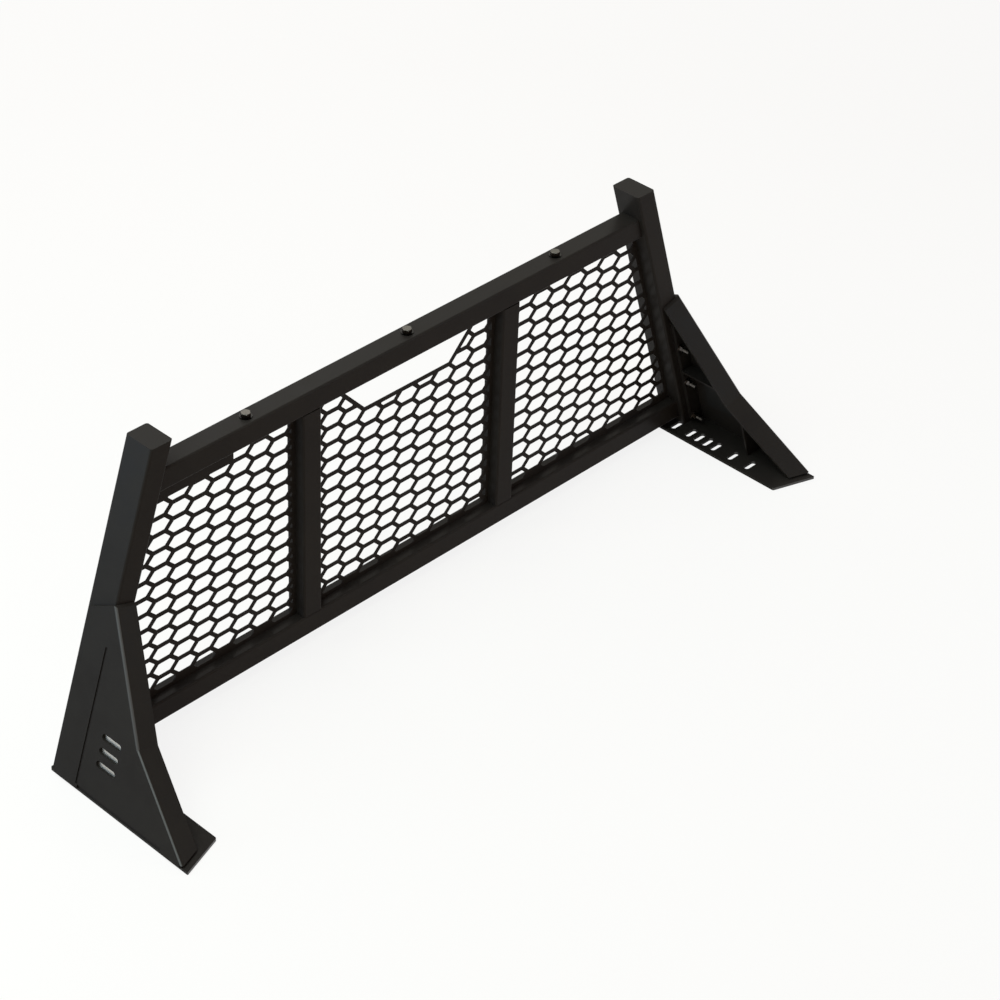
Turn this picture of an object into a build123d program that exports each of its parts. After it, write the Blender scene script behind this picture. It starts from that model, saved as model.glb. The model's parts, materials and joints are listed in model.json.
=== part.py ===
from build123d import *
import math
import os

# Headache rack: a guard frame that stands on the bed rails behind a truck cab.
# X runs across the truck and the rack is centred on X = 0.  The legs reach out
# from the posts towards -Y.  Z = 0 is the underside of the base plates.  Pieces
# are drawn with Y = 0 in the middle of the posts, and save() then moves them so
# that the origin is the middle of the slots.  Every size is in millimetres.

# ---- driving dimensions: frame ----
CAP_TOP = 706.1             # overall height, to the top of the post caps
HALF_WIDTH_TOP = 712.7      # outer face of a post at the cap's top
LEAN = 0.325                # inward lean of the posts, run over rise
POST_WIDTH = 50.8           # post tube, across its leaning side
POST_DEPTH = 76.2           # post tube, front to back
POST_CORNER = 5.4           # outer corner radius of the post tube
BAR_SIZE = 50.8             # square tube of the two bars and the mid posts
BAR_CORNER = 5.0            # outer corner radius of the square tube
TUBE_WALL = 3.2             # wall of every tube
CAP_THICKNESS = 3.2         # plate that closes a post
TOP_BAR_Z = 611.65          # centre height of the top bar
BOTTOM_BAR_Z = 49.8         # centre height of the bottom bar
MID_POST_X = 287.5          # centre of a mid post

# ---- driving dimensions: mesh ----
SHEET = 2.0                 # thickness of the perforated sheet
PITCH_X = 53.2              # from one column of holes to the next
PITCH_Z = 39.27             # from one hole of a column to the next
WEB = 9.5                   # width of the strips between the holes
HOLE_CORNER = 2.0           # corner radius of a hole
RIM = 9.6                   # plain rim of each sheet, where it is welded
SMALLEST_EDGE = 1.5         # shorter edges of a clipped hole are dropped
SMALLEST_HOLE = 50.0        # clipped holes under this area are left out
SMALLEST_SPAN = 6.0         # and so are those narrower or lower than this
CORNER_SHARE = 0.45         # part of an edge that one rounded corner may take
CENTRE_HOLE_Z = 364.06      # one hole of the middle column, centre bay
CENTRE_SHIFT = 3.85         # that column and the window lie right of the middle
SIDE_HOLE_X = 513.6         # one column of a side bay
SIDE_HOLE_Z = 466.7         # one hole of that column
WINDOW_Z = 506.5            # sill of the window in the centre bay
WINDOW_HALF = 122.0         # half width of the window at its sill
WINDOW_FLARE = 0.94         # outward run over rise of the window's sides
STRIP_X = -477.0            # inboard end of the plain strip in the left bay
STRIP_Z = 546.0             # lower edge of that strip

# ---- driving dimensions: legs ----
PLATE = 6.35                # side plate, front flange and clamp plate
SHIM = 3.175                # plate between a post and its clamp plate
GUSSET = 4.8                # thickness of the two gussets
SLIP = 1.0                  # room between a post and the side plate
FLANGE_WIDTH = 52.0         # front flange, from the side plate's outer face
BEND_RADIUS = 7.4           # outer radius of the front bend
BEND_TOP = (-46.5, 390.0)   # (y, z) of the sharp bend line at its top end
BEND_KINK = (-186.0, 163.0)
BEND_FOOT = (-379.0, 0.0)   # where that line would meet Z = 0
LAP_TOP = (23.0, 363.0)     # (y, z) of the side plate's upper rear corner
LAP_FRONT = (-40.0, 393.0)  # (y, z) of its highest corner
FLANGE_GAP = 4.5            # gap between the front flange and the base plate
RELIEF = 9.0                # height of the step in the side plate's foot
RELIEF_DEPTH = 4.5          # depth of that step
RELIEF_FRONT = -299.0       # its front end; it starts at the clamp plate
CLAMP_WIDTH = 40.0          # clamp plate, from the side plate's outer face
CLAMP_TOP = 322.0           # height of the clamp plate's top
TAB_TOP = 308.0             # height of its tab, which sits in the side plate's slot
SLOT_INSET = 2.5            # the tab's edge lies this far in the slot
SLOT_ROOM = 0.25            # room around the tab in the slot
CLAMP_FOOT_GAP = 9.5        # from the base plate to the clamp plate
UPPER_GUSSET_Z = 178.4      # top face of the upper gusset
UPPER_GUSSET_WIDTH = 43.5   # from the side plate's outer face
LOWER_GUSSET_Y = -222.0     # front face of the lower gusset
LOWER_GUSSET_WIDTH = 48.5   # from the side plate's outer face
VENT_Y = -113.0             # centre of the three slots in the side plate
VENT_Z = 112.0
VENT_PITCH = 29.0
VENT_LENGTH = 56.0
VENT_WIDTH = 14.0
BACKING = 2.0               # light plate behind those slots
BACKING_MARGIN = 9.0

# ---- driving dimensions: base plates ----
BASE_THICKNESS = 6.35
BASE_OUTER = 944.5
BASE_INNER = 840.0
BASE_FRONT = 379.5          # front corner, at the outer edge
BASE_SKEW = 0.338           # the front edge runs back towards the middle
BASE_HEEL_X = 886.0         # inboard edge of the part under the post
BASE_NOTCH_Y = 4.0          # rear edge of the part inboard of the post
BASE_CORNER = 5.0
BASE_TIP = 1.5              # radius of its outer front corner
SLOT_X = 871.4
SLOT_FIRST_Y = -27.65
SLOT_STEPS = (44.45, 25.4, 25.4, 25.4, 50.8, 50.8)
SLOT_LENGTH = 36.5
SLOT_WIDTH = 13.0

# ---- driving dimensions: fasteners ----
BOLT_HEIGHTS = (27.0, 137.0, 247.0)
BOLT = 9.525                # diameter of the leg bolts
BOLT_ACROSS = 14.3          # across the flats of their heads and nuts
BOLT_HEAD = 6.2
BOLT_NUT = 8.4
BOLT_TAIL = 15.675          # thread that shows past the nut
BOLT_ROOM = 0.5             # play of a bolt in its hole
THREAD_ROOM = 0.1           # play of a bolt in its nut
WASHER_OUTER = 20.6
WASHER = 1.6
LIGHT_BOLT_X = 442.5        # the outer two of three light bolts
LIGHT_BOLT = 12.7
LIGHT_ACROSS = 19.05
LIGHT_HEAD = 8.0
LIGHT_WASHER_OUTER = 27.0
LIGHT_WASHER = 2.5
LIGHT_NUT = 10.5
LIGHT_TAIL = 4.0            # thread that shows under the nut
EDGE_BREAK = 0.8            # chamfer of hexagon heads and bolt ends

# ---- sizes worked out from the driving ones ----
COS_LEAN = 1 / math.hypot(1, LEAN)
SIN_LEAN = LEAN * COS_LEAN
POST_SPAN = POST_WIDTH / COS_LEAN
BAR_HALF = BAR_SIZE / 2
TOP_BAR_UNDER = TOP_BAR_Z - BAR_HALF
BOTTOM_BAR_OVER = BOTTOM_BAR_Z + BAR_HALF
POST_FRONT = -POST_DEPTH / 2
CLAMP_REAR = POST_FRONT - SHIM
CLAMP_FRONT = CLAMP_REAR - PLATE
HOLE_HALF = (PITCH_Z - WEB) / 2
SLANT = ((PITCH_X + PITCH_Z / 2) / math.sqrt(2) - WEB) / 2
HOLE_TIP = SLANT * math.sqrt(2)
HOLE_FLAT = HOLE_TIP - HOLE_HALF
SIDE_OFFSET = PLATE + SLIP
SLOTS_MIDDLE_Y = SLOT_FIRST_Y - sum(SLOT_STEPS) / 2


def post_outer_x(z):
    """X of a right post's outer face at height z."""
    return HALF_WIDTH_TOP + LEAN * (CAP_TOP - z)


def post_inner_x(z):
    """X of a right post's inner face at height z."""
    return post_outer_x(z) - POST_SPAN


def post_middle_x(z):
    """X of a right post's middle at height z."""
    return post_outer_x(z) - POST_SPAN / 2


def side_x(z):
    """X of the outer face of a right leg's side plate at height z."""
    return post_outer_x(z) + SIDE_OFFSET / COS_LEAN


def mirror_x(shape):
    """The left-hand twin of a right-hand piece."""
    return mirror(shape, about=Plane.YZ)


def closed_face(points, radius=0.0):
    """A face inside the points, with its corners rounded."""
    if not radius:
        return make_face(Polyline(*points, close=True))
    return make_face(FilletPolyline(*points, radius=radius, close=True))


def slab(x0, x1, y0, y1, z0, z1):
    """A box between two corners."""
    return Pos((x0 + x1) / 2, (y0 + y1) / 2, (z0 + z1) / 2) * Box(x1 - x0, y1 - y0, z1 - z0)


# ---- tubes ----
def tube(width, depth, corner, length):
    """A hollow rectangular tube that stands on its middle."""
    outer = RectangleRounded(width, depth, corner)
    inner = RectangleRounded(width - 2 * TUBE_WALL, depth - 2 * TUBE_WALL, corner - TUBE_WALL)
    return extrude(outer - inner, length / 2, both=True)


def leaning(shape):
    """Lean a standing shape onto the right post's axis."""
    angle = math.degrees(math.atan(LEAN))
    middle_z = CAP_TOP / 2
    return Pos(post_middle_x(middle_z), 0, middle_z) * Rot(0, -angle, 0) * shape


def between_levels(shape, low, high):
    """Keep what lies between two heights."""
    reach = 2 * BASE_OUTER
    return shape & slab(-reach, reach, -reach, reach, low, high)


def bolt_cutters(radius):
    """Three cutters through a right post and the plates on its front face."""
    cutters = Part()
    for z in BOLT_HEIGHTS:
        drill = Pos(post_middle_x(z), 0, z) * Rot(90, 0, 0) * Cylinder(radius, 2 * POST_DEPTH)
        cutters += drill
    return cutters


def post():
    """Right post: a leaning tube, cut level, drilled for the leg bolts."""
    long_tube = leaning(tube(POST_WIDTH, POST_DEPTH, POST_CORNER, 2 * CAP_TOP))
    level = between_levels(long_tube, BASE_THICKNESS, CAP_TOP - CAP_THICKNESS)
    return level - bolt_cutters(BOLT / 2 + BOLT_ROOM)


def post_cap():
    """Plate on top of the right post, flush with it all round."""
    block = leaning(extrude(RectangleRounded(POST_WIDTH, POST_DEPTH, POST_CORNER), CAP_TOP, both=True))
    return between_levels(block, CAP_TOP - CAP_THICKNESS, CAP_TOP)


def cross_bar(centre_z):
    """A square tube between the inner faces of the two posts."""
    blank = tube(BAR_SIZE, BAR_SIZE, BAR_CORNER, 2 * BASE_OUTER)
    bar = Pos(0, 0, centre_z) * Rot(0, 90, 0) * blank
    low = centre_z - BAR_SIZE
    high = centre_z + BAR_SIZE
    ends = closed_face([
        (-post_inner_x(low), low), (post_inner_x(low), low),
        (post_inner_x(high), high), (-post_inner_x(high), high),
    ])
    return bar & extrude(Plane.XZ * ends, BAR_SIZE, both=True)


def top_bar():
    """Upper bar, drilled for the three light bolts."""
    bar = cross_bar(TOP_BAR_Z)
    for x in (-LIGHT_BOLT_X, 0, LIGHT_BOLT_X):
        hole = Cylinder(LIGHT_BOLT / 2 + BOLT_ROOM, BAR_SIZE)
        bar -= Pos(x, 0, TOP_BAR_Z + BAR_HALF) * hole
    return bar


def mid_post():
    """Right mid post, between the two bars."""
    height = TOP_BAR_UNDER - BOTTOM_BAR_OVER
    middle_z = (TOP_BAR_UNDER + BOTTOM_BAR_OVER) / 2
    return Pos(MID_POST_X, 0, middle_z) * tube(BAR_SIZE, BAR_SIZE, BAR_CORNER, height)


# ---- mesh ----
def clip(points, a, b, c):
    """Keep the part of a convex polygon where a*x + b*z <= c."""
    kept = []
    for i, (x0, z0) in enumerate(points):
        x1, z1 = points[(i + 1) % len(points)]
        d0 = a * x0 + b * z0 - c
        d1 = a * x1 + b * z1 - c
        if d0 <= 0:
            kept.append((x0, z0))
        if (d0 < 0 < d1) or (d1 < 0 < d0):
            share = d0 / (d0 - d1)
            kept.append((x0 + share * (x1 - x0), z0 + share * (z1 - z0)))
    return kept


def area(points):
    """Area of a polygon."""
    total = 0
    for i, (x0, z0) in enumerate(points):
        x1, z1 = points[(i + 1) % len(points)]
        total += x0 * z1 - x1 * z0
    return abs(total) / 2


def span(points):
    """The smaller of a polygon's width and height."""
    xs, zs = zip(*points)
    return min(max(xs) - min(xs), max(zs) - min(zs))


def tidy_corners(points):
    """Drop corners that lie closer to the last one than SMALLEST_EDGE."""
    kept = []
    for point in points:
        if not kept or math.dist(point, kept[-1]) > SMALLEST_EDGE:
            kept.append(point)
    if len(kept) > 1 and math.dist(kept[0], kept[-1]) <= SMALLEST_EDGE:
        kept.pop()
    return kept


def corner_radii(points):
    """A radius for each corner that its two edges have room for."""
    radii = []
    count = len(points)
    for i, point in enumerate(points):
        before = Vector(*points[i - 1]) - Vector(*point)
        after = Vector(*points[(i + 1) % count]) - Vector(*point)
        half_angle = math.radians(before.get_angle(after)) / 2
        room = CORNER_SHARE * min(before.length, after.length) * math.tan(half_angle)
        radii.append(min(HOLE_CORNER, room))
    return radii


def hexagon(x, z):
    """Corners of one whole hole."""
    return [
        (x - HOLE_TIP, z), (x - HOLE_FLAT, z - HOLE_HALF), (x + HOLE_FLAT, z - HOLE_HALF),
        (x + HOLE_TIP, z), (x + HOLE_FLAT, z + HOLE_HALF), (x - HOLE_FLAT, z + HOLE_HALF),
    ]


def lattice(first_x, first_z, low_x, high_x):
    """Centres of the holes: columns a pitch apart, every other one half a pitch up."""
    centres = []
    first = math.floor((low_x - first_x) / PITCH_X) - 1
    last = math.ceil((high_x - first_x) / PITCH_X) + 1
    for column in range(first, last + 1):
        x = first_x + column * PITCH_X
        shift = 0.5 * (column % 2)
        low = math.floor((BOTTOM_BAR_OVER - first_z) / PITCH_Z - shift) - 1
        high = math.ceil((TOP_BAR_UNDER - first_z) / PITCH_Z - shift) + 1
        for row in range(low, high + 1):
            centres.append((x, first_z + (row + shift) * PITCH_Z))
    return centres


def sheet(outline, limits, holes):
    """A flat sheet with its holes clipped to the limits, standing on Y = 0."""
    cut_outs = []
    for hole in holes:
        for limit in limits:
            hole = clip(hole, *limit)
        hole = tidy_corners(hole)
        if len(hole) > 2 and area(hole) > SMALLEST_HOLE and span(hole) > SMALLEST_SPAN:
            cut_outs.append(closed_face(hole, corner_radii(hole)).wire())
    pierced = Face(closed_face(outline).wire(), cut_outs)
    return extrude(Plane.XZ * pierced, SHEET / 2, both=True)


def level_limits():
    """Limits of the holes above the bottom bar and under the top bar."""
    return [(0, -1, -(BOTTOM_BAR_OVER + RIM)), (0, 1, TOP_BAR_UNDER - RIM)]


def side_sheet(with_strip):
    """Perforated sheet of the right bay; the left one keeps a plain strip."""
    inner = MID_POST_X + BAR_HALF
    outline = [
        (inner, BOTTOM_BAR_OVER), (post_inner_x(BOTTOM_BAR_OVER), BOTTOM_BAR_OVER),
        (post_inner_x(TOP_BAR_UNDER), TOP_BAR_UNDER), (inner, TOP_BAR_UNDER),
    ]
    post_limit = (COS_LEAN, SIN_LEAN, COS_LEAN * post_inner_x(0) - RIM)
    limits = level_limits() + [(-1, 0, -(inner + RIM)), post_limit]
    holes = []
    for x, z in lattice(SIDE_HOLE_X, SIDE_HOLE_Z, inner, post_inner_x(BOTTOM_BAR_OVER)):
        hole = hexagon(x, z)
        if with_strip and x > -STRIP_X:
            hole = clip(hole, 0, 1, STRIP_Z)
        elif with_strip and z > STRIP_Z:
            hole = clip(hole, 1, 0, -STRIP_X)
        holes.append(hole)
    return sheet(outline, limits, holes)


def window_limits():
    """The window's sill and sides, moved out by one web."""
    slope = math.hypot(1, WINDOW_FLARE)
    edge = (WINDOW_HALF - WINDOW_FLARE * WINDOW_Z) / slope + WEB
    right = (-1 / slope, WINDOW_FLARE / slope, -edge)
    left = (1 / slope, WINDOW_FLARE / slope, -edge)
    return [(0, 1, WINDOW_Z - WEB), left, right]


def centre_sheet():
    """Perforated sheet of the middle bay, with its window under the top bar."""
    left = BAR_HALF - MID_POST_X - CENTRE_SHIFT
    right = MID_POST_X - BAR_HALF - CENTRE_SHIFT
    top = TOP_BAR_UNDER
    window_top = WINDOW_HALF + WINDOW_FLARE * (top - WINDOW_Z)
    outline = [
        (left, BOTTOM_BAR_OVER), (right, BOTTOM_BAR_OVER), (right, top), (window_top, top),
        (WINDOW_HALF, WINDOW_Z), (-WINDOW_HALF, WINDOW_Z), (-window_top, top), (left, top),
    ]
    limits = level_limits() + [(1, 0, right - RIM), (-1, 0, -left - RIM)]
    holes = []
    for x, z in lattice(0, CENTRE_HOLE_Z, left, right):
        pieces = [clip(hexagon(x, z), *limit) for limit in window_limits()]
        holes.append(max(pieces, key=area))
    return Pos(CENTRE_SHIFT, 0, 0) * sheet(outline, limits, holes)


# ---- legs, all right-hand, in the side plate's own plane ----
def side_plane(depth=0.0):
    """Plane of a right side plate, depth inboard of its outer face; x is Y, y is up."""
    normal = Vector(COS_LEAN, 0, SIN_LEAN)
    origin = Vector(side_x(0), 0, 0) - normal * depth
    return Plane(origin=origin, x_dir=(0, 1, 0), z_dir=normal)


def on_side(points):
    """(y, z) points as coordinates in the side plate's plane."""
    return [(y, z / COS_LEAN) for y, z in points]


def inboard(face, start, end):
    """Extrude a face of the side plane from one depth to another."""
    return extrude(side_plane(start) * face, start - end)


def bend_line():
    """Sharp front edge of the leg in the side plane, from top to foot."""
    return [Vector(*point) for point in on_side([BEND_TOP, BEND_KINK, BEND_FOOT])]


def side_face():
    """Outline of the side plate, run on below the base plate's top."""
    corners = [BEND_TOP, BEND_KINK, BEND_FOOT, (LAP_TOP[0], 0), LAP_TOP, LAP_FRONT]
    return closed_face(on_side(corners))


def behind_bend(distance, rear_y):
    """Part of the side plane that lies behind the bend line, up to a rear limit."""
    upper, kink, foot = bend_line()
    first = (kink - upper).normalized()
    second = (foot - kink).normalized()
    across_first = Vector(-first.Y, first.X) * distance
    across_second = Vector(-second.Y, second.X) * distance
    half_turn = math.radians(across_first.get_angle(across_second) / 2)
    across_kink = (across_first + across_second) / (2 * math.cos(half_turn) ** 2)
    inner_kink = kink + across_kink
    inner_foot = foot + across_second + second * distance
    rise = (rear_y - inner_kink.X) / first.X
    inner_top = inner_kink + first * rise
    corners = [inner_top, inner_kink, inner_foot, Vector(rear_y, inner_foot.Y)]
    return closed_face([(corner.X, corner.Y) for corner in corners])


def flange_face():
    """Section of the front flange in the side plane."""
    reach = 2 * BASE_FRONT
    ahead = closed_face([(-reach, -reach), (POST_FRONT, -reach), (POST_FRONT, reach), (-reach, reach)])
    return (side_face() & ahead) - behind_bend(PLATE, POST_FRONT)


def leg_plate():
    """Side plate and front flange, bent from one sheet."""
    plate = inboard(side_face(), 0, PLATE) + inboard(flange_face(), 0, FLANGE_WIDTH)
    plate = fillet(plate.edges().filter_by(is_outer_bend), BEND_RADIUS)
    plate = fillet(plate.edges().filter_by(is_inner_bend), BEND_RADIUS - PLATE)
    plate = between_levels(plate, BASE_THICKNESS, CAP_TOP)
    return plate - relief() - flange_foot() - clamp_slot() - vents()


def relief():
    """Cutter for the step along the side plate's foot."""
    top = BASE_THICKNESS + RELIEF
    corners = [(RELIEF_FRONT, 0), (CLAMP_FRONT, 0), (CLAMP_FRONT, top), (RELIEF_FRONT, top)]
    return inboard(closed_face(on_side(corners)), -PLATE, RELIEF_DEPTH)


def flange_foot():
    """Cutter that ends the flange and its bend short of the base plate."""
    strip = side_face() - behind_bend(BEND_RADIUS, LAP_TOP[0])
    return between_levels(inboard(strip, -PLATE, 2 * FLANGE_WIDTH), 0, BASE_THICKNESS + FLANGE_GAP)


def side_depth(point):
    """How far a point lies inboard of the side plate's outer face."""
    return -side_plane().to_local_coords(point).Z


def bend_distance(point):
    """How far a point lies behind the bend line."""
    local = side_plane().to_local_coords(point)
    line = bend_line()
    distances = []
    for start, end in zip(line, line[1:]):
        along = (end - start).normalized()
        distances.append(along.X * (local.Y - start.Y) - along.Y * (local.X - start.X))
    return max(distances)


def is_outer_bend(edge):
    """True for the sharp outer edges along the bend line."""
    middle = edge @ 0.5
    return abs(side_depth(middle)) < 0.01 and abs(bend_distance(middle)) < 0.01


def is_inner_bend(edge):
    """True for the sharp inner edges along the bend line."""
    middle = edge @ 0.5
    return abs(side_depth(middle) - PLATE) < 0.01 and abs(bend_distance(middle) - PLATE) < 0.01


def upright(front, rear, top, start, end, room=0.0):
    """A plate ahead of the post, between two Y and two depths, with room around it."""
    corners = [
        (front - room, 0), (rear + room, 0),
        (rear + room, CAP_TOP), (front - room, CAP_TOP),
    ]
    block = inboard(closed_face(on_side(corners)), start, end)
    return between_levels(block, BASE_THICKNESS + CLAMP_FOOT_GAP - room, top + room)


def clamp_slot():
    """Slot in the side plate that takes the clamp plate's tab."""
    return upright(CLAMP_FRONT, CLAMP_REAR, TAB_TOP, -PLATE, 2 * PLATE, SLOT_ROOM)


def vents():
    """Three slots one above the other through the side plate."""
    cutters = Part()
    for step in (-1, 0, 1):
        z = (VENT_Z + step * VENT_PITCH) / COS_LEAN
        cutters += inboard(Pos(VENT_Y, z) * SlotOverall(VENT_LENGTH, VENT_WIDTH), -PLATE, 2 * PLATE)
    return cutters


def backing_plate():
    """Light plate behind the three slots."""
    width = VENT_LENGTH + 2 * BACKING_MARGIN
    height = 2 * VENT_PITCH / COS_LEAN + VENT_WIDTH + 2 * BACKING_MARGIN
    face = Pos(VENT_Y, VENT_Z / COS_LEAN) * RectangleRounded(width, height, BACKING_MARGIN)
    return inboard(face, PLATE, PLATE + BACKING)


def clamp_plate():
    """Plate ahead of the post that the leg bolts pull up."""
    plate = upright(CLAMP_FRONT, CLAMP_REAR, CLAMP_TOP, PLATE, CLAMP_WIDTH)
    tab = upright(CLAMP_FRONT, CLAMP_REAR, TAB_TOP, SLOT_INSET, PLATE)
    return plate + tab - bolt_cutters(BOLT / 2 + BOLT_ROOM)


def shim_plate():
    """Plate that fills the gap between the post and the clamp plate."""
    plate = upright(CLAMP_REAR, POST_FRONT, CLAMP_TOP, PLATE, CLAMP_WIDTH)
    return plate - bolt_cutters(BOLT / 2 + BOLT_ROOM)


def gusset_space(rear_y, width):
    """Space behind the front flange, with a snip that clears the bend."""
    space = behind_bend(PLATE, rear_y)
    snip = space - behind_bend(BEND_RADIUS, rear_y)
    return inboard(space, PLATE, width) - inboard(snip, PLATE, BEND_RADIUS)


def upper_gusset():
    """Level gusset between the clamp plate and the front flange."""
    space = gusset_space(CLAMP_FRONT, UPPER_GUSSET_WIDTH)
    return between_levels(space, UPPER_GUSSET_Z - GUSSET, UPPER_GUSSET_Z)


def lower_gusset():
    """Upright gusset on the base plate behind the front flange."""
    rear = LOWER_GUSSET_Y + GUSSET
    space = gusset_space(rear, LOWER_GUSSET_WIDTH)
    layer = slab(0, 2 * BASE_OUTER, LOWER_GUSSET_Y, rear, BASE_THICKNESS, CAP_TOP)
    return space & layer


def base_plate():
    """Right base plate with its seven slots."""
    inner_front = BASE_FRONT - BASE_SKEW * (BASE_OUTER - BASE_INNER)
    rear = POST_DEPTH / 2
    outline = [
        (BASE_OUTER, -BASE_FRONT), (BASE_OUTER, rear), (BASE_HEEL_X, rear),
        (BASE_HEEL_X, BASE_NOTCH_Y), (BASE_INNER, BASE_NOTCH_Y), (BASE_INNER, -inner_front),
    ]
    face = closed_face(outline, [BASE_TIP] + [BASE_CORNER] * (len(outline) - 1))
    y = SLOT_FIRST_Y
    for step in (0,) + SLOT_STEPS:
        y -= step
        face -= Pos(SLOT_X, y) * SlotOverall(SLOT_LENGTH, SLOT_WIDTH)
    return extrude(face, BASE_THICKNESS)


# ---- fasteners ----
def hexagon_block(across, height):
    """A hexagon prism from Z = 0 up, with its upper corners broken."""
    prism = extrude(RegularPolygon(across / 2, 6, major_radius=False), height)
    cone = Pos(0, 0, height / 2) * Cylinder(across / math.sqrt(3), height)
    cone = chamfer(cone.edges().group_by(Axis.Z)[-1], EDGE_BREAK)
    return prism & cone


def hex_bolt(diameter, across, head, length):
    """A bolt with the underside of its head on Z = 0 and its shank below."""
    shank = Pos(0, 0, -length / 2) * Cylinder(diameter / 2, length)
    shank = chamfer(shank.edges().group_by(Axis.Z)[0], EDGE_BREAK)
    return hexagon_block(across, head) + shank


def hex_nut(diameter, across, height):
    """A nut on Z = 0."""
    bore = Cylinder(diameter / 2 + THREAD_ROOM, 4 * height)
    return hexagon_block(across, height) - bore


def washer(outer, bolt, thickness):
    """A flat washer on Z = 0."""
    ring = Circle(outer / 2) - Circle(bolt / 2 + BOLT_ROOM)
    return extrude(ring, thickness)


def at_bolts(shape, y, facing):
    """A copy of a shape on each leg bolt's axis, pointing to the front or the rear."""
    turn = Rot(90, 0, 0) if facing == "front" else Rot(-90, 0, 0)
    return [Pos(post_middle_x(z), y, z) * turn * shape for z in BOLT_HEIGHTS]


def leg_bolts():
    """Bolts from behind the post, through it, the shim plate and the clamp plate."""
    rear = POST_DEPTH / 2 + WASHER
    tip = CLAMP_FRONT - WASHER - BOLT_NUT - BOLT_TAIL
    return at_bolts(hex_bolt(BOLT, BOLT_ACROSS, BOLT_HEAD, rear - tip), rear, "rear")


def leg_nuts():
    """Nuts on the front ends of those bolts."""
    return at_bolts(hex_nut(BOLT, BOLT_ACROSS, BOLT_NUT), CLAMP_FRONT - WASHER, "front")


def leg_washers():
    """One washer under each nut and one under each head."""
    ring = washer(WASHER_OUTER, BOLT, WASHER)
    return at_bolts(ring, CLAMP_FRONT, "front") + at_bolts(ring, POST_DEPTH / 2, "rear")


def at_light_bolts(shape, z):
    """A copy of a shape on each light bolt's axis."""
    return [Pos(x, 0, z) * shape for x in (-LIGHT_BOLT_X, 0, LIGHT_BOLT_X)]


def light_bolts():
    """Three bolts in the top side of the top bar."""
    length = LIGHT_WASHER + TUBE_WALL + LIGHT_NUT + LIGHT_TAIL
    bolt = hex_bolt(LIGHT_BOLT, LIGHT_ACROSS, LIGHT_HEAD, length)
    return at_light_bolts(bolt, TOP_BAR_Z + BAR_HALF + LIGHT_WASHER)


def light_washers():
    """A washer under the head of each of them."""
    ring = washer(LIGHT_WASHER_OUTER, LIGHT_BOLT, LIGHT_WASHER)
    return at_light_bolts(ring, TOP_BAR_Z + BAR_HALF)


def light_nuts():
    """Weld nuts under the top bar's upper wall."""
    under = TOP_BAR_Z + BAR_HALF - TUBE_WALL
    nut = Rot(180, 0, 0) * hex_nut(LIGHT_BOLT, LIGHT_ACROSS, LIGHT_NUT)
    return at_light_bolts(nut, under)


def save(name, shape):
    """Write one node; a list becomes a group of separate solids."""
    place = Pos(0, -SLOTS_MIDDLE_Y, 0)
    if isinstance(shape, list):
        node = Compound(children=[place * s.solid() for s in shape])
    else:
        node = place * shape
    export_step(node, f"parts/{name}.step")


def save_pair(name, make):
    """Write the right-hand piece and its left-hand twin."""
    shape = make()
    if isinstance(shape, list):
        twin = [mirror_x(s) for s in shape]
    else:
        twin = mirror_x(shape)
    save(f"right_{name}", shape)
    save(f"left_{name}", twin)


PAIRS = {
    "post": post,
    "post_cap": post_cap,
    "mid_post": mid_post,
    "leg_plate": leg_plate,
    "clamp_plate": clamp_plate,
    "shim_plate": shim_plate,
    "upper_gusset": upper_gusset,
    "lower_gusset": lower_gusset,
    "backing_plate": backing_plate,
    "base_plate": base_plate,
    "leg_bolts": leg_bolts,
    "leg_nuts": leg_nuts,
    "leg_washers": leg_washers,
}


def main():
    """Write every node of the rack."""
    os.makedirs("parts", exist_ok=True)
    for name, make in PAIRS.items():
        save_pair(name, make)
    save("top_bar", top_bar())
    save("bottom_bar", cross_bar(BOTTOM_BAR_Z))
    save("centre_mesh_panel", centre_sheet())
    save("right_mesh_panel", side_sheet(with_strip=False))
    save("left_mesh_panel", mirror_x(side_sheet(with_strip=True)))
    save("light_bolts", light_bolts())
    save("light_washers", light_washers())
    save("light_bolt_nuts", light_nuts())


main()
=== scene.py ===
"""Looks of a pickup truck's headache rack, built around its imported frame.

The rack is welded and folded steel under satin black powder coat, with zinc
plated leg bolts, plain stainless light bolts and brushed stainless plates that
show through the vents of its legs.  Every length is in metres unless a name
ends in _mm.
"""

from __future__ import annotations

import json
import logging
import math
from dataclasses import dataclass, field
from enum import Enum
from typing import Sequence

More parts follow.
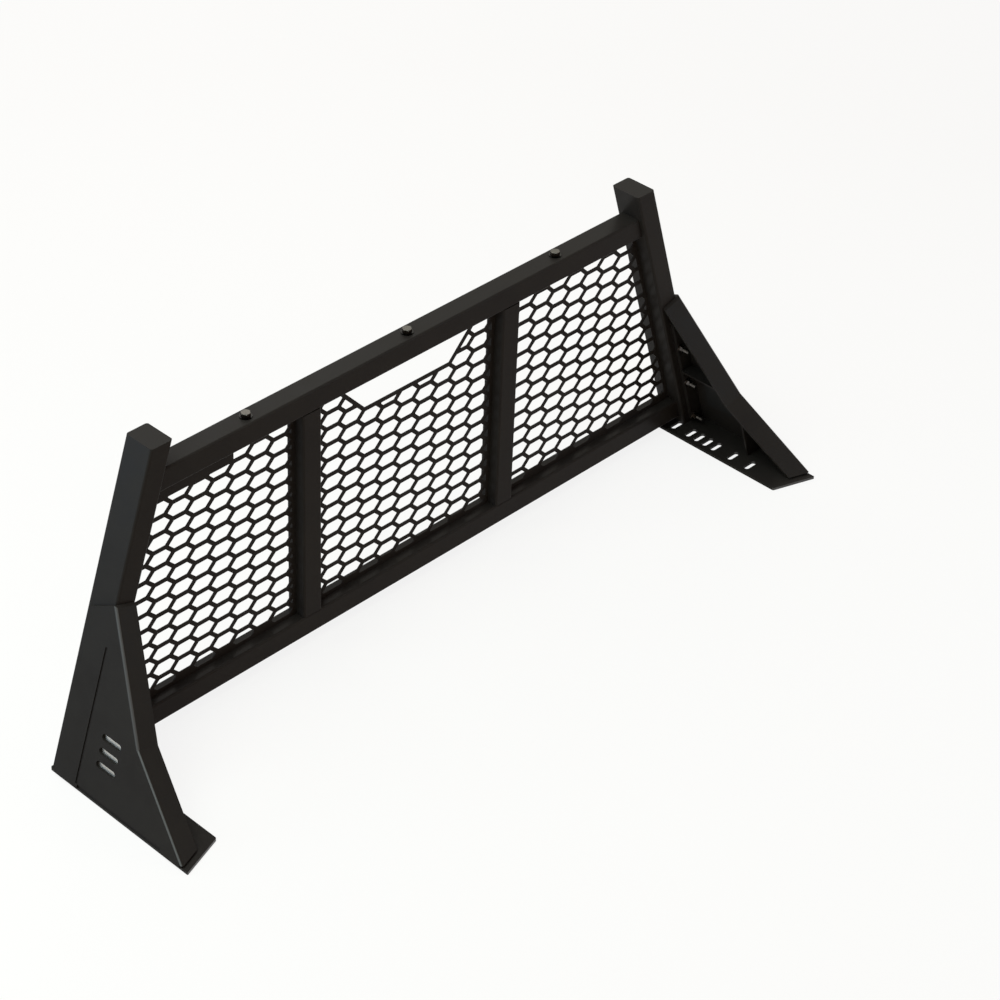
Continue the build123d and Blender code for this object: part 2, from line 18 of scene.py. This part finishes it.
import bpy
import numpy as np
from mathutils import Euler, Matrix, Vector

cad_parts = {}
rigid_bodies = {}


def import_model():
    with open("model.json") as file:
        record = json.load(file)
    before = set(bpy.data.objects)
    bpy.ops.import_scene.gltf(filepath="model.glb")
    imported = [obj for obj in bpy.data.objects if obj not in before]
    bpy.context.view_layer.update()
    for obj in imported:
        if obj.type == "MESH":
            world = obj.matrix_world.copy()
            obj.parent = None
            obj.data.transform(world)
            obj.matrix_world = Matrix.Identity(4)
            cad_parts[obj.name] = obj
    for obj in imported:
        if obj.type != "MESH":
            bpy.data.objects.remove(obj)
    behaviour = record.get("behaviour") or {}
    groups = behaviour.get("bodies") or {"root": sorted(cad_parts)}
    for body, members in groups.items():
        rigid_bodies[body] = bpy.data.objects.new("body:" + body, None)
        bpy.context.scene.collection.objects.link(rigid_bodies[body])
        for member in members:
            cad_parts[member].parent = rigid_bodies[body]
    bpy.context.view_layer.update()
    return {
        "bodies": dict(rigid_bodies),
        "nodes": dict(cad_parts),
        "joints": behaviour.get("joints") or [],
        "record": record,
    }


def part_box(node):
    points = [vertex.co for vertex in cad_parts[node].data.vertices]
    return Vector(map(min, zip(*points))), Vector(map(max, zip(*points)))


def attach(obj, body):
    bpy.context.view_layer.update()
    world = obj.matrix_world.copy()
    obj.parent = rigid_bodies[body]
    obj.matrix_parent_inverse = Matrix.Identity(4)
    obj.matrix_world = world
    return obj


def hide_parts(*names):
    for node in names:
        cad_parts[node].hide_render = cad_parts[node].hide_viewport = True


LOG = logging.getLogger("headache_rack")
MM = 0.001


class Side(Enum):
    """The two ends of the rack, by their sign on X."""

    LEFT = -1
    RIGHT = 1

    @property
    def word(self) -> str:
        """The start of this side's node names."""
        return self.name.lower()


# ---- shader building ----
def linear(hex_colour: str) -> tuple[float, float, float, float]:
    """Turn an sRGB hex colour into linear red, green, blue and an alpha of one.

    Args:
        hex_colour: Colour such as "#1d1c1b".

    Returns:
        The four linear channels.
    """
    parts = np.array([int(hex_colour[i:i + 2], 16) for i in (1, 3, 5)]) / 255
    low = parts / 12.92
    high = ((parts + 0.055) / 1.055) ** 2.4
    red, green, blue = np.where(parts <= 0.04045, low, high)
    return float(red), float(green), float(blue), 1.0


def add_node(tree: bpy.types.NodeTree, kind: str, inputs: dict | None = None,
             **settings: object) -> bpy.types.Node:
    """Add one shader node with its settings, values and links.

    Args:
        tree: Node tree that takes the node.
        kind: Blender's name of the node's type.
        inputs: Socket name or number to a value, or to a socket to link from.
        **settings: Attributes of the node itself.

    Returns:
        The new node.
    """
    node = tree.nodes.new(kind)
    for name, value in settings.items():
        setattr(node, name, value)
    for key, value in (inputs or {}).items():
        socket = node.inputs[key]
        if isinstance(value, bpy.types.NodeSocket):
            tree.links.new(value, socket)
        else:
            socket.default_value = value
    return node


def new_material(name: str) -> tuple[bpy.types.Material, bpy.types.NodeTree]:
    """Make a material with an empty node tree.

    Args:
        name: The material's name.

    Returns:
        The material and its tree.
    """
    material = bpy.data.materials.new(name)
    material.use_nodes = True
    material.node_tree.nodes.clear()
    return material, material.node_tree


def finish_surface(tree: bpy.types.NodeTree, inputs: dict) -> None:
    """Put a Principled shader with these inputs on the material's output."""
    shader = add_node(tree, "ShaderNodeBsdfPrincipled", inputs)
    add_node(tree, "ShaderNodeOutputMaterial", {"Surface": shader.outputs[0]})


def per_metre(size_mm: float) -> float:
    """Scale of a noise whose features are about this many millimetres wide."""
    return 1.0 / (size_mm * MM)


@dataclass(frozen=True)
class PowderCoat:
    """Polyester powder coat, sprayed dry and baked: satin, with orange peel.

    The film is a little thicker here and thinner there, which shows as slow
    changes of gloss, and its skin has the low bumps called orange peel.  On the
    round bends of folded plate a painted highlight is added: the specular level
    is raised where the normal turns from a side to the front.
    """

    name: str
    colour: str = "#292522"
    deep_colour: str = "#211d1c"
    roughness: float = 0.36
    roughness_swing: float = 0.07
    specular_level: float = 0.03
    film_mm: float = 70.0
    peel_mm: float = 4.0        # real peel is 2 to 3 mm across, too fine to show
    peel_height_mm: float = 0.02
    painted_bend_highlight: float = 0.0     # painted highlight: specular level on bends between a side and a front
    painted_highlight_starts: float = -0.17  # normal's |X| times Y where the painted bend highlight begins
    painted_highlight_full: float = -0.23    # and where the painted highlight is full

    def material(self) -> bpy.types.Material:
        """Build the coat.

        Returns:
            The finished material.
        """
        made, tree = new_material(self.name)
        place = add_node(tree, "ShaderNodeTexCoord").outputs["Object"]
        film = add_node(tree, "ShaderNodeTexNoise", {
            "Vector": place, "Scale": per_metre(self.film_mm), "Detail": 3.0, "Roughness": 0.55,
        })
        colour = add_node(tree, "ShaderNodeMix", {
            "Factor": film.outputs["Fac"], "A": linear(self.deep_colour), "B": linear(self.colour),
        }, data_type="RGBA")
        gloss = add_node(tree, "ShaderNodeMapRange", {
            "Value": film.outputs["Fac"], "From Min": 0.3, "From Max": 0.7,
            "To Min": self.roughness - self.roughness_swing,
            "To Max": self.roughness + self.roughness_swing,
        })
        peel = add_node(tree, "ShaderNodeTexNoise", {
            "Vector": place, "Scale": per_metre(self.peel_mm), "Detail": 1.0, "Roughness": 0.4,
        })
        bump = add_node(tree, "ShaderNodeBump", {
            "Height": peel.outputs["Fac"], "Distance": self.peel_height_mm * MM, "Strength": 0.5,
        })
        finish_surface(tree, {
            "Base Color": colour.outputs["Result"], "Roughness": gloss.outputs["Result"],
            "Specular IOR Level": self.shine(tree), "Normal": bump.outputs["Normal"],
        })
        return made

    def shine(self, tree: bpy.types.NodeTree) -> bpy.types.NodeSocket:
        """Specular level: higher where the surface turns from a side to the front, a painted
        highlight.

        There the normal's X, taken without its sign, times its turn towards -Y
        is larger than on either flat face.
        """
        facing = add_node(tree, "ShaderNodeSeparateXYZ", {
            "Vector": add_node(tree, "ShaderNodeNewGeometry").outputs["True Normal"],
        })
        sideways = add_node(tree, "ShaderNodeMath", {
            0: facing.outputs["X"],
        }, operation="ABSOLUTE")
        between = add_node(tree, "ShaderNodeMath", {
            0: sideways.outputs[0], 1: facing.outputs["Y"],
        }, operation="MULTIPLY")
        level = add_node(tree, "ShaderNodeMapRange", {
            "Value": between.outputs[0], "From Min": self.painted_highlight_starts, "From Max": self.painted_highlight_full,
            "To Min": self.specular_level, "To Max": max(self.specular_level, self.painted_bend_highlight),
        })
        return level.outputs["Result"]


@dataclass(frozen=True)
class ZincPlate:
    """Steel under zinc: barrel plated, with cloudy passivation and painted shade on the flanks.

    The faces across the bolt's axis keep the bright plating; the flanks are
    painted a darker brown, and that darkening is painted shade.
    """

    name: str = "zinc_plated_steel"
    bright: str = "#74726f"
    clouded: str = "#56534f"
    painted_flank_shade: str = "#463b33"
    bolt_axis: str = "Y"
    flank_limit: float = 0.35   # share of the normal along the axis where flanks end
    face_limit: float = 0.8     # and where end faces begin
    scuff_height_mm: float = 0.01
    roughness: float = 0.3
    roughness_swing: float = 0.1
    cloud_mm: float = 5.0
    scuff_mm: float = 0.9

    def material(self) -> bpy.types.Material:
        """Build the plating.

        Returns:
            The finished material.
        """
        made, tree = new_material(self.name)
        place = add_node(tree, "ShaderNodeTexCoord").outputs["Object"]
        cloud = add_node(tree, "ShaderNodeTexNoise", {
            "Vector": place, "Scale": per_metre(self.cloud_mm), "Detail": 4.0, "Roughness": 0.6,
        })
        colour = add_node(tree, "ShaderNodeMix", {
            "Factor": cloud.outputs["Fac"], "A": linear(self.bright), "B": linear(self.clouded),
        }, data_type="RGBA")
        gloss = add_node(tree, "ShaderNodeMapRange", {
            "Value": cloud.outputs["Fac"], "From Min": 0.3, "From Max": 0.7,
            "To Min": self.roughness - self.roughness_swing,
            "To Max": self.roughness + self.roughness_swing,
        })
        scuff = add_node(tree, "ShaderNodeTexNoise", {
            "Vector": place, "Scale": per_metre(self.scuff_mm), "Detail": 2.0,
        })
        bump = add_node(tree, "ShaderNodeBump", {
            "Height": scuff.outputs["Fac"], "Distance": self.scuff_height_mm * MM, "Strength": 0.4,
        })
        facing = add_node(tree, "ShaderNodeSeparateXYZ", {
            "Vector": add_node(tree, "ShaderNodeNewGeometry").outputs["True Normal"],
        })
        along = add_node(tree, "ShaderNodeMath", {
            0: facing.outputs[self.bolt_axis],
        }, operation="ABSOLUTE")
        end_face = add_node(tree, "ShaderNodeMapRange", {
            "Value": along.outputs[0], "From Min": self.flank_limit, "From Max": self.face_limit,
        })
        # The flanks take the flank shade colour: painted shade on the sides of each bolt, nut and
        # washer.
        plated = add_node(tree, "ShaderNodeMix", {
            "Factor": end_face.outputs["Result"], "A": linear(self.painted_flank_shade),
            "B": colour.outputs["Result"],
        }, data_type="RGBA")
        finish_surface(tree, {
            "Base Color": plated.outputs["Result"], "Roughness": gloss.outputs["Result"],
            "Metallic": 1.0, "Normal": bump.outputs["Normal"],
        })
        return made


@dataclass(frozen=True)
class BrushedSteel:
    """Stainless sheet brushed along Y: long fine streaks under a soft shine.

    Only the face that shows through the vents is bare; the back was sprayed
    together with the leg.
    """

    name: str
    coated: str = "#252322"
    bright: str = "#bdb6ac"
    streak: str = "#8f897f"
    roughness: float = 0.34
    roughness_swing: float = 0.08
    grit_mm: float = 0.6        # real brushing is finer than 0.2 mm, too fine to show
    streak_mm: float = 40.0
    streak_height_mm: float = 0.008
    coat_specular: float = 0.03
    bare_specular: float = 0.5
    outboard_limit: float = 0.3  # normal's X times place's X, in metres, on an outer face

    def material(self) -> bpy.types.Material:
        """Build the brushed metal.

        Returns:
            The finished material.
        """
        made, tree = new_material(self.name)
        place = add_node(tree, "ShaderNodeTexCoord").outputs["Object"]
        stretched = add_node(tree, "ShaderNodeMapping", {
            "Vector": place, "Scale": (1.0, self.grit_mm / self.streak_mm, 1.0),
        })
        brush = add_node(tree, "ShaderNodeTexNoise", {
            "Vector": stretched.outputs["Vector"], "Scale": per_metre(self.grit_mm),
            "Detail": 3.0, "Roughness": 0.6,
        })
        colour = add_node(tree, "ShaderNodeMix", {
            "Factor": brush.outputs["Fac"], "A": linear(self.bright), "B": linear(self.streak),
        }, data_type="RGBA")
        gloss = add_node(tree, "ShaderNodeMapRange", {
            "Value": brush.outputs["Fac"], "To Min": self.roughness - self.roughness_swing,
            "To Max": self.roughness + self.roughness_swing,
        })
        bump = add_node(tree, "ShaderNodeBump", {
            "Height": brush.outputs["Fac"], "Distance": self.streak_height_mm * MM,
            "Strength": 0.5,
        })
        bare = self.outboard(tree, place)
        shown = add_node(tree, "ShaderNodeMix", {
            "Factor": bare, "A": linear(self.coated), "B": colour.outputs["Result"],
        }, data_type="RGBA")
        shine = add_node(tree, "ShaderNodeMapRange", {
            "Value": bare, "To Min": self.coat_specular, "To Max": self.bare_specular,
        })
        finish_surface(tree, {
            "Base Color": shown.outputs["Result"], "Roughness": gloss.outputs["Result"],
            "Metallic": bare, "Specular IOR Level": shine.outputs["Result"],
            "Normal": bump.outputs["Normal"],
        })
        return made

    def outboard(self, tree: bpy.types.NodeTree,
                 place: bpy.types.NodeSocket) -> bpy.types.NodeSocket:
        """A socket that is one on faces that look away from the rack's middle."""
        normal = add_node(tree, "ShaderNodeNewGeometry").outputs["True Normal"]
        facing = add_node(tree, "ShaderNodeSeparateXYZ", {"Vector": normal})
        spot = add_node(tree, "ShaderNodeSeparateXYZ", {"Vector": place})
        product = add_node(tree, "ShaderNodeMath", {
            0: facing.outputs["X"], 1: spot.outputs["X"],
        }, operation="MULTIPLY")
        return add_node(tree, "ShaderNodeMath", {
            0: product.outputs[0], 1: self.outboard_limit,
        }, operation="GREATER_THAN").outputs[0]


def dress(frame: dict, names: Sequence[str], material: bpy.types.Material) -> None:
    """Give CAD nodes a finished material.

    Args:
        names: The nodes' names.
        material: Their finish.
    """
    for name in names:
        slots = frame["nodes"][name].data.materials
        slots.clear()
        slots.append(material)
        LOG.info("dressed %s in %s", name, material.name)


# ---- sub-assemblies ----
@dataclass
class WeldedFrame:
    """Posts, caps, bars and mid posts, all cut from tube."""

    frame: dict
    coat: PowderCoat = field(default_factory=lambda: PowderCoat("powder_coat_on_tube"))

    def build(self) -> None:
        """Dress the tubes."""
        names = ["top_bar", "bottom_bar"]
        for side in Side:
            names += [f"{side.word}_{part}" for part in ("post", "post_cap", "mid_post")]
        dress(self.frame, names, self.coat.material())


@dataclass
class MeshPanels:
    """The three laser-cut sheets."""

    frame: dict
    coat: PowderCoat = field(default_factory=lambda: PowderCoat("powder_coat_on_sheet"))

    def build(self) -> None:
        """Dress the sheets."""
        names = [f"{bay}_mesh_panel" for bay in ("left", "centre", "right")]
        dress(self.frame, names, self.coat.material())


@dataclass
class Legs:
    """Folded leg plates, clamp plates, gussets, base plates and backing plates."""

    frame: dict
    # The bend highlight on the leg plates is a painted highlight.
    coat: PowderCoat = field(default_factory=lambda: PowderCoat(
        "powder_coat_on_plate", painted_bend_highlight=0.5))
    backing: BrushedSteel = field(default_factory=lambda: BrushedSteel("brushed_stainless_sheet"))

    def build(self) -> None:
        """Dress the plates."""
        coat = self.coat.material()
        backing = self.backing.material()
        parts = ("leg_plate", "clamp_plate", "upper_gusset", "lower_gusset", "base_plate",
                 "shim_plate")
        for side in Side:
            dress(self.frame, [f"{side.word}_{part}" for part in parts], coat)
            dress(self.frame, [f"{side.word}_backing_plate"], backing)


@dataclass(frozen=True)
class BoltShape:
    """One hexagon bolt, drawn along its own axis from the tip to the head's top.

    The thread is a helix: at a turn angle and a distance along the axis, the
    radius falls from the crest by a triangle wave of the distance over the
    pitch minus the share of a turn.  The head's radius is that of a hexagon,
    its apothem over the cosine of the angle from the nearest flat's middle,
    and never more than a cone that breaks its six corners.
    """

    diameter_mm: float
    pitch_mm: float
    across_mm: float
    head_mm: float
    rows_a_turn: int = 6
    columns: int = 48
    washer_face_mm: float = 0.5
    corner_break_mm: float = 1.6
    thread_depth: float = 0.61  # as a share of the pitch
    tip_break: float = 0.7      # taper of the tip, as a share of the pitch
    face_share: float = 0.97    # radius of the head's round face over the apothem
    seat_share: float = 0.95    # radius of its washer face over the apothem

    @property
    def corner(self) -> float:
        """Radius to the hexagon's corners, in metres."""
        return self.across_mm * MM / math.sqrt(3)

    def shank_grid(self, length: float, turn: np.ndarray) -> tuple[np.ndarray, np.ndarray]:
        """Radii and heights of the threaded shank.

        Args:
            length: Distance from the tip to the underside of the head.
            turn: Angles of the columns.

        Returns:
            Radius and height of every grid point, a row for each station.
        """
        pitch = self.pitch_mm * MM
        count = max(8, round(length / pitch * self.rows_a_turn))
        height = np.linspace(0.0, length, count)[:, None] * np.ones_like(turn)
        phase = (height / pitch - turn / math.tau) % 1.0
        depth = self.thread_depth * pitch * (1 - np.abs(2 * phase - 1))
        crest = self.diameter_mm * MM / 2
        tip_cone = crest - self.tip_break * pitch + height
        return np.minimum(crest - depth, tip_cone), height

    def head_grid(self, start: float, turn: np.ndarray) -> tuple[np.ndarray, np.ndarray]:
        """Radii and heights of the head, from its washer face to its top.

        Args:
            start: Height of the head's underside.
            turn: Angles of the columns.

        Returns:
            Radius and height of every grid point, a row for each station.
        """
        apothem = self.across_mm * MM / 2
        sector = math.tau / 6
        from_flat = (turn % sector) - sector / 2
        hexagon = apothem / np.cos(from_flat)
        face = self.washer_face_mm * MM
        top = self.head_mm * MM
        cut = self.corner_break_mm * MM * math.tan(math.radians(30))
        levels = np.array([0.0, face, face, face + cut, top - cut, top - cut / 2, top])
        room = np.array([0.0, 0.0, 0.0, 1.0, 1.0, 0.5, 0.0])
        round_face = apothem * self.face_share
        cone = round_face + room * (self.corner - round_face)
        radius = np.minimum(hexagon[None, :], cone[:, None])
        radius[:2] = apothem * self.seat_share
        return radius, (start + levels)[:, None] * np.ones_like(turn)

    def points(self, length: float) -> tuple[np.ndarray, np.ndarray]:
        """Vertices and triangles of one bolt along +Z, its tip's middle at the origin.

        Args:
            length: Distance from the tip to the underside of the head.

        Returns:
            The vertices, closed by one pole at each end, and the triangles' corners.
        """
        turn = np.arange(self.columns) * math.tau / self.columns
        shank_radius, shank_height = self.shank_grid(length, turn)
        head_radius, head_height = self.head_grid(length, turn)
        radius = np.vstack([shank_radius, head_radius])
        height = np.vstack([shank_height, head_height])
        ring = np.stack([radius * np.cos(turn), radius * np.sin(turn), height], axis=-1)
        poles = np.array([[0, 0, 0], [0, 0, height[-1, 0]]])
        rows = radius.shape[0]
        return np.vstack([ring.reshape(-1, 3), poles]), grid_faces(rows, self.columns)


def grid_faces(rows: int, columns: int) -> np.ndarray:
    """Triangles of a closed tube of rings with a pole at each end.

    Args:
        rows: Number of rings, from the bottom up.
        columns: Points on each ring; the two poles follow the last ring.

    Returns:
        The corners of every triangle, wound so that normals point outwards.
    """
    near = np.arange(columns)
    far = (near + 1) % columns
    base = (np.arange(rows - 1) * columns)[:, None]
    low_near, low_far = base + near, base + far
    high_near, high_far = low_near + columns, low_far + columns
    first = np.stack([low_near, low_far, high_far], axis=-1).reshape(-1, 3)
    second = np.stack([low_near, high_far, high_near], axis=-1).reshape(-1, 3)
    bottom = np.full(columns, rows * columns)
    last = (rows - 1) * columns
    floor = np.stack([far, near, bottom], axis=-1)
    roof = np.stack([last + near, last + far, bottom + 1], axis=-1)
    return np.vstack([first, second, floor, roof])


@dataclass
class Fasteners:
    """Leg bolts, nuts and washers, and the light bolts with theirs.

    The bolts are drawn anew with real threads, 3/8-16 in the legs and 1/2-13 in
    the top bar, where the CAD frame has plain shanks.
    """

    frame: dict
    zinc: ZincPlate = field(default_factory=ZincPlate)
    # On the light bolts the tops are bright and the flanks painted darker: painted shade.
    stainless: ZincPlate = field(default_factory=lambda: ZincPlate(
        "plain_stainless", bright="#4c4944", clouded="#423f3b", painted_flank_shade="#3d342d",
        bolt_axis="Z"))
    # The light washers are painted nearly black: painted shade under the light bolt heads.
    blackened: ZincPlate = field(default_factory=lambda: ZincPlate(
        "blackened_washer", bright="#1c1a18", clouded="#171513", painted_flank_shade="#12100f",
        bolt_axis="Z"))
    leg_bolt: BoltShape = BoltShape(9.525, 1.5875, 14.3, 6.2)
    light_bolt: BoltShape = BoltShape(12.7, 1.954, 19.05, 8.0)
    washer_radius_mm: float = 10.3

    def build(self) -> None:
        """Dress the fasteners and add the threaded bolts."""
        zinc = self.zinc.material()
        stainless = self.stainless.material()
        for side in Side:
            dress(self.frame, [f"{side.word}_leg_{part}" for part in ("nuts", "washers")], zinc)
            self.add_leg_bolts(side, zinc)
        dress(self.frame, ["light_bolt_nuts"], zinc)
        dress(self.frame, ["light_washers"], self.blackened.material())
        self.add_light_bolts(stainless)

    def add_leg_bolts(self, side: Side, material: bpy.types.Material) -> None:
        """Add one leg's three bolts, heads at the rear, tips at the front.

        Args:
            side: The leg's side.
            material: The bolts' finish.
        """
        low, high = (np.array(corner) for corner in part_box(f"{side.word}_leg_washers"))
        tip, rear = (corner[1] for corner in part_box(f"{side.word}_leg_bolts"))
        radius = self.washer_radius_mm * MM
        wide, narrow = high[0] - radius, low[0] + radius
        if side is Side.LEFT:
            wide, narrow = narrow, wide
        share = np.array([0.0, 0.5, 1.0])
        xs = wide + share * (narrow - wide)
        zs = low[2] + radius + share * (high[2] - low[2] - 2 * radius)
        places = np.stack([xs, np.full(3, tip), zs], axis=-1)
        length = rear - tip - self.leg_bolt.head_mm * MM
        vertices, faces = self.leg_bolt.points(length)
        laid = vertices[:, [0, 2, 1]] * np.array([-1.0, 1.0, 1.0])
        self.add_bolts(f"{side.word}_threaded_leg_bolts", places, laid, faces,
                       material, f"{side.word}_leg_bolts")

    def add_light_bolts(self, material: bpy.types.Material) -> None:
        """Add the three bolts in the top bar, heads up."""
        low, high = (np.array(corner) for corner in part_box("light_bolts"))
        reach = high[0] - self.light_bolt.corner
        middle_y = (low[1] + high[1]) / 2
        places = np.array([[x, middle_y, low[2]] for x in (-reach, 0.0, reach)])
        length = high[2] - low[2] - self.light_bolt.head_mm * MM
        vertices, faces = self.light_bolt.points(length)
        self.add_bolts("threaded_light_bolts", places, vertices, faces,
                       material, "light_bolts")

    def add_bolts(self, name: str, places: np.ndarray, vertices: np.ndarray,
                  faces: np.ndarray, material: bpy.types.Material, node: str) -> None:
        """Add copies of one bolt as a single piece that stands for a CAD node.

        Args:
            name: The new piece's name.
            places: Position of each tip.
            vertices: One bolt's vertices, turned to its axis.
            faces: Its triangles.
            material: Its finish.
            node: The CAD node that it replaces.
        """
        points = (places[:, None, :] + vertices[None, :, :]).reshape(-1, 3)
        steps = np.arange(len(places))[:, None, None] * len(vertices)
        corners = (faces[None, :, :] + steps).reshape(-1, 3)
        mesh = bpy.data.meshes.new(name)
        mesh.from_pydata(points.tolist(), [], corners.tolist())
        mesh.materials.append(material)
        piece = bpy.data.objects.new(name, mesh)
        bpy.context.scene.collection.objects.link(piece)
        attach(piece, "root")
        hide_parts(node)
        LOG.info("added %s in place of %s: %d triangles", name, node, len(corners))


# ---- studio ----
MIDDLE = (0.0, 0.0, 0.3)
LEFT_HALF = (-0.8, 0.0, 0.3)
RIGHT_FOOT = (0.85, 0.0, 0.2)


@dataclass(frozen=True)
class SoftLamp:
    """One square lamp: its place, what it faces, its size, watts and linear colour."""

    name: str
    place: tuple[float, float, float]
    target: tuple[float, float, float]
    size: float
    power: float
    colour: tuple[float, float, float]

    def hang(self) -> None:
        """Put the lamp into the scene."""
        lamp = bpy.data.lights.new(self.name, "AREA")
        lamp.size = self.size
        lamp.energy = self.power
        lamp.color = self.colour
        holder = bpy.data.objects.new(self.name, lamp)
        holder.location = self.place
        facing = Vector(self.target) - Vector(self.place)
        holder.rotation_euler = facing.to_track_quat("-Z", "Y").to_euler()
        bpy.context.scene.collection.objects.link(holder)


# Cool light from the left and above, a warm one from the front right.
LAMPS = (
    SoftLamp("overhead", (-1.6, 0.5, 4.8), MIDDLE, 3.0, 172.0, (0.8, 1.0, 1.0)),
    SoftLamp("left_high", (-4.2, -0.6, 3.0), MIDDLE, 3.0, 70.0, (0.8, 1.0, 0.93)),
    SoftLamp("left_low", (-3.3, 1.8, 0.8), LEFT_HALF, 2.0, 57.0, (0.5, 0.74, 1.0)),
    SoftLamp("front_right", (3.2, -4.2, 2.4), MIDDLE, 2.6, 36.0, (1.0, 0.55, 0.15)),
    SoftLamp("front_low", (0.6, -4.8, 1.6), MIDDLE, 2.0, 12.0, (1.0, 0.6, 0.3)),
    SoftLamp("right_low", (1.8, -2.4, 1.2), RIGHT_FOOT, 1.2, 18.0, (0.3, 0.68, 1.0)),
    SoftLamp("sky_back", (1.0, 3.2, 3.3), MIDDLE, 3.2, 50.0, (1.0, 1.0, 1.0)),
    SoftLamp("sky_right", (3.2, 3.0, 3.0), MIDDLE, 2.6, 17.0, (1.0, 1.0, 0.8)),
)


@dataclass
class Studio:
    """Pale floor, white surroundings and soft lamps."""

    floor_half: float = 30.0
    floor_drop: float = 0.0005
    floor_colour: str = "#f3eadf"
    floor_glow: float = 0.85
    shadow_reach: float = 2.5   # the floor is lit by the lamps up to this far out
    white_from: float = 7.0     # and plain white from here on
    ambient: tuple[float, float, float, float] = (0.15, 0.09, 0.07, 1.0)
    lamps: tuple[SoftLamp, ...] = LAMPS

    def build(self) -> None:
        """Make the floor, the world and the lamps."""
        self.build_floor()
        self.build_world()
        for lamp in self.lamps:
            lamp.hang()
            LOG.info("hung %s", lamp.name)

    def build_floor(self) -> None:
        """Make the floor: a level square just under the rack that keeps its shadow."""
        signs = np.array([(-1, -1), (1, -1), (1, 1), (-1, 1)])
        corners = np.column_stack([signs * self.floor_half, np.full(4, -self.floor_drop)])
        mesh = bpy.data.meshes.new("floor")
        mesh.from_pydata(corners.tolist(), [], [(0, 1, 2, 3)])
        floor = bpy.data.objects.new("floor", mesh)
        bpy.context.scene.collection.objects.link(floor)
        made, tree = new_material("studio_floor")
        paint = add_node(tree, "ShaderNodeBsdfDiffuse", {"Color": linear(self.floor_colour)})
        glow = add_node(tree, "ShaderNodeEmission", {"Color": (1, 1, 1, 1), "Strength": 1.0})
        distance = add_node(tree, "ShaderNodeVectorMath", {
            0: add_node(tree, "ShaderNodeTexCoord").outputs["Object"],
        }, operation="LENGTH")
        whiteness = add_node(tree, "ShaderNodeMapRange", {
            "Value": distance.outputs["Value"], "From Min": self.shadow_reach,
            "From Max": self.white_from, "To Min": self.floor_glow, "To Max": 1.0,
        })
        share = add_node(tree, "ShaderNodeMath", {
            0: self.seen_directly(tree), 1: whiteness.outputs["Result"],
        }, operation="MULTIPLY")
        mixed = add_node(tree, "ShaderNodeMixShader", {
            0: share.outputs[0], 1: paint.outputs[0], 2: glow.outputs[0],
        })
        add_node(tree, "ShaderNodeOutputMaterial", {"Surface": mixed.outputs[0]})
        mesh.materials.append(made)

    def seen_directly(self, tree: bpy.types.NodeTree) -> bpy.types.NodeSocket:
        """A socket that is one for camera, glossy and transmission rays."""
        path = add_node(tree, "ShaderNodeLightPath")
        first = add_node(tree, "ShaderNodeMath", {
            0: path.outputs["Is Camera Ray"], 1: path.outputs["Is Glossy Ray"],
        }, operation="MAXIMUM")
        second = add_node(tree, "ShaderNodeMath", {
            0: first.outputs[0], 1: path.outputs["Is Transmission Ray"],
        }, operation="MAXIMUM")
        return second.outputs[0]

    def build_world(self) -> None:
        """Make the surroundings: white where seen, a faint warm ambient elsewhere."""
        world = bpy.data.worlds.new("studio")
        world.use_nodes = True
        tree = world.node_tree
        tree.nodes.clear()
        colour = add_node(tree, "ShaderNodeMix", {
            "Factor": self.seen_directly(tree), "A": self.ambient, "B": (1, 1, 1, 1),
        }, data_type="RGBA")
        sky = add_node(tree, "ShaderNodeBackground", {"Color": colour.outputs["Result"]})
        add_node(tree, "ShaderNodeOutputWorld", {"Surface": sky.outputs[0]})
        bpy.context.scene.world = world


@dataclass
class Viewpoint:
    """A long lens, high at the front left."""

    place: tuple[float, float, float] = (-3.5144, -3.3714, 3.8579)
    turn_degrees: tuple[float, float, float] = (54.8139, -0.5513, -43.9390)
    lens_mm: float = 104.066
    shift: tuple[float, float] = (0.12433, -0.05592)

    def build(self) -> None:
        """Make the camera and give it to the scene."""
        camera = bpy.data.cameras.new("viewpoint")
        camera.lens = self.lens_mm
        camera.sensor_width = 36.0
        camera.shift_x, camera.shift_y = self.shift
        holder = bpy.data.objects.new("viewpoint", camera)
        holder.location = self.place
        holder.rotation_euler = Euler([math.radians(angle) for angle in self.turn_degrees], "XYZ")
        bpy.context.scene.collection.objects.link(holder)
        bpy.context.scene.camera = holder


def main() -> None:
    """Build every sub-assembly in order, then the studio and the camera."""
    logging.basicConfig(level=logging.INFO, format="%(name)s: %(message)s")
    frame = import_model()
    Viewpoint().build()
    Studio().build()
    WeldedFrame(frame).build()
    MeshPanels(frame).build()
    Legs(frame).build()
    Fasteners(frame).build()
    bpy.context.scene.view_settings.view_transform = "Standard"


if __name__ == "__main__":
    main()
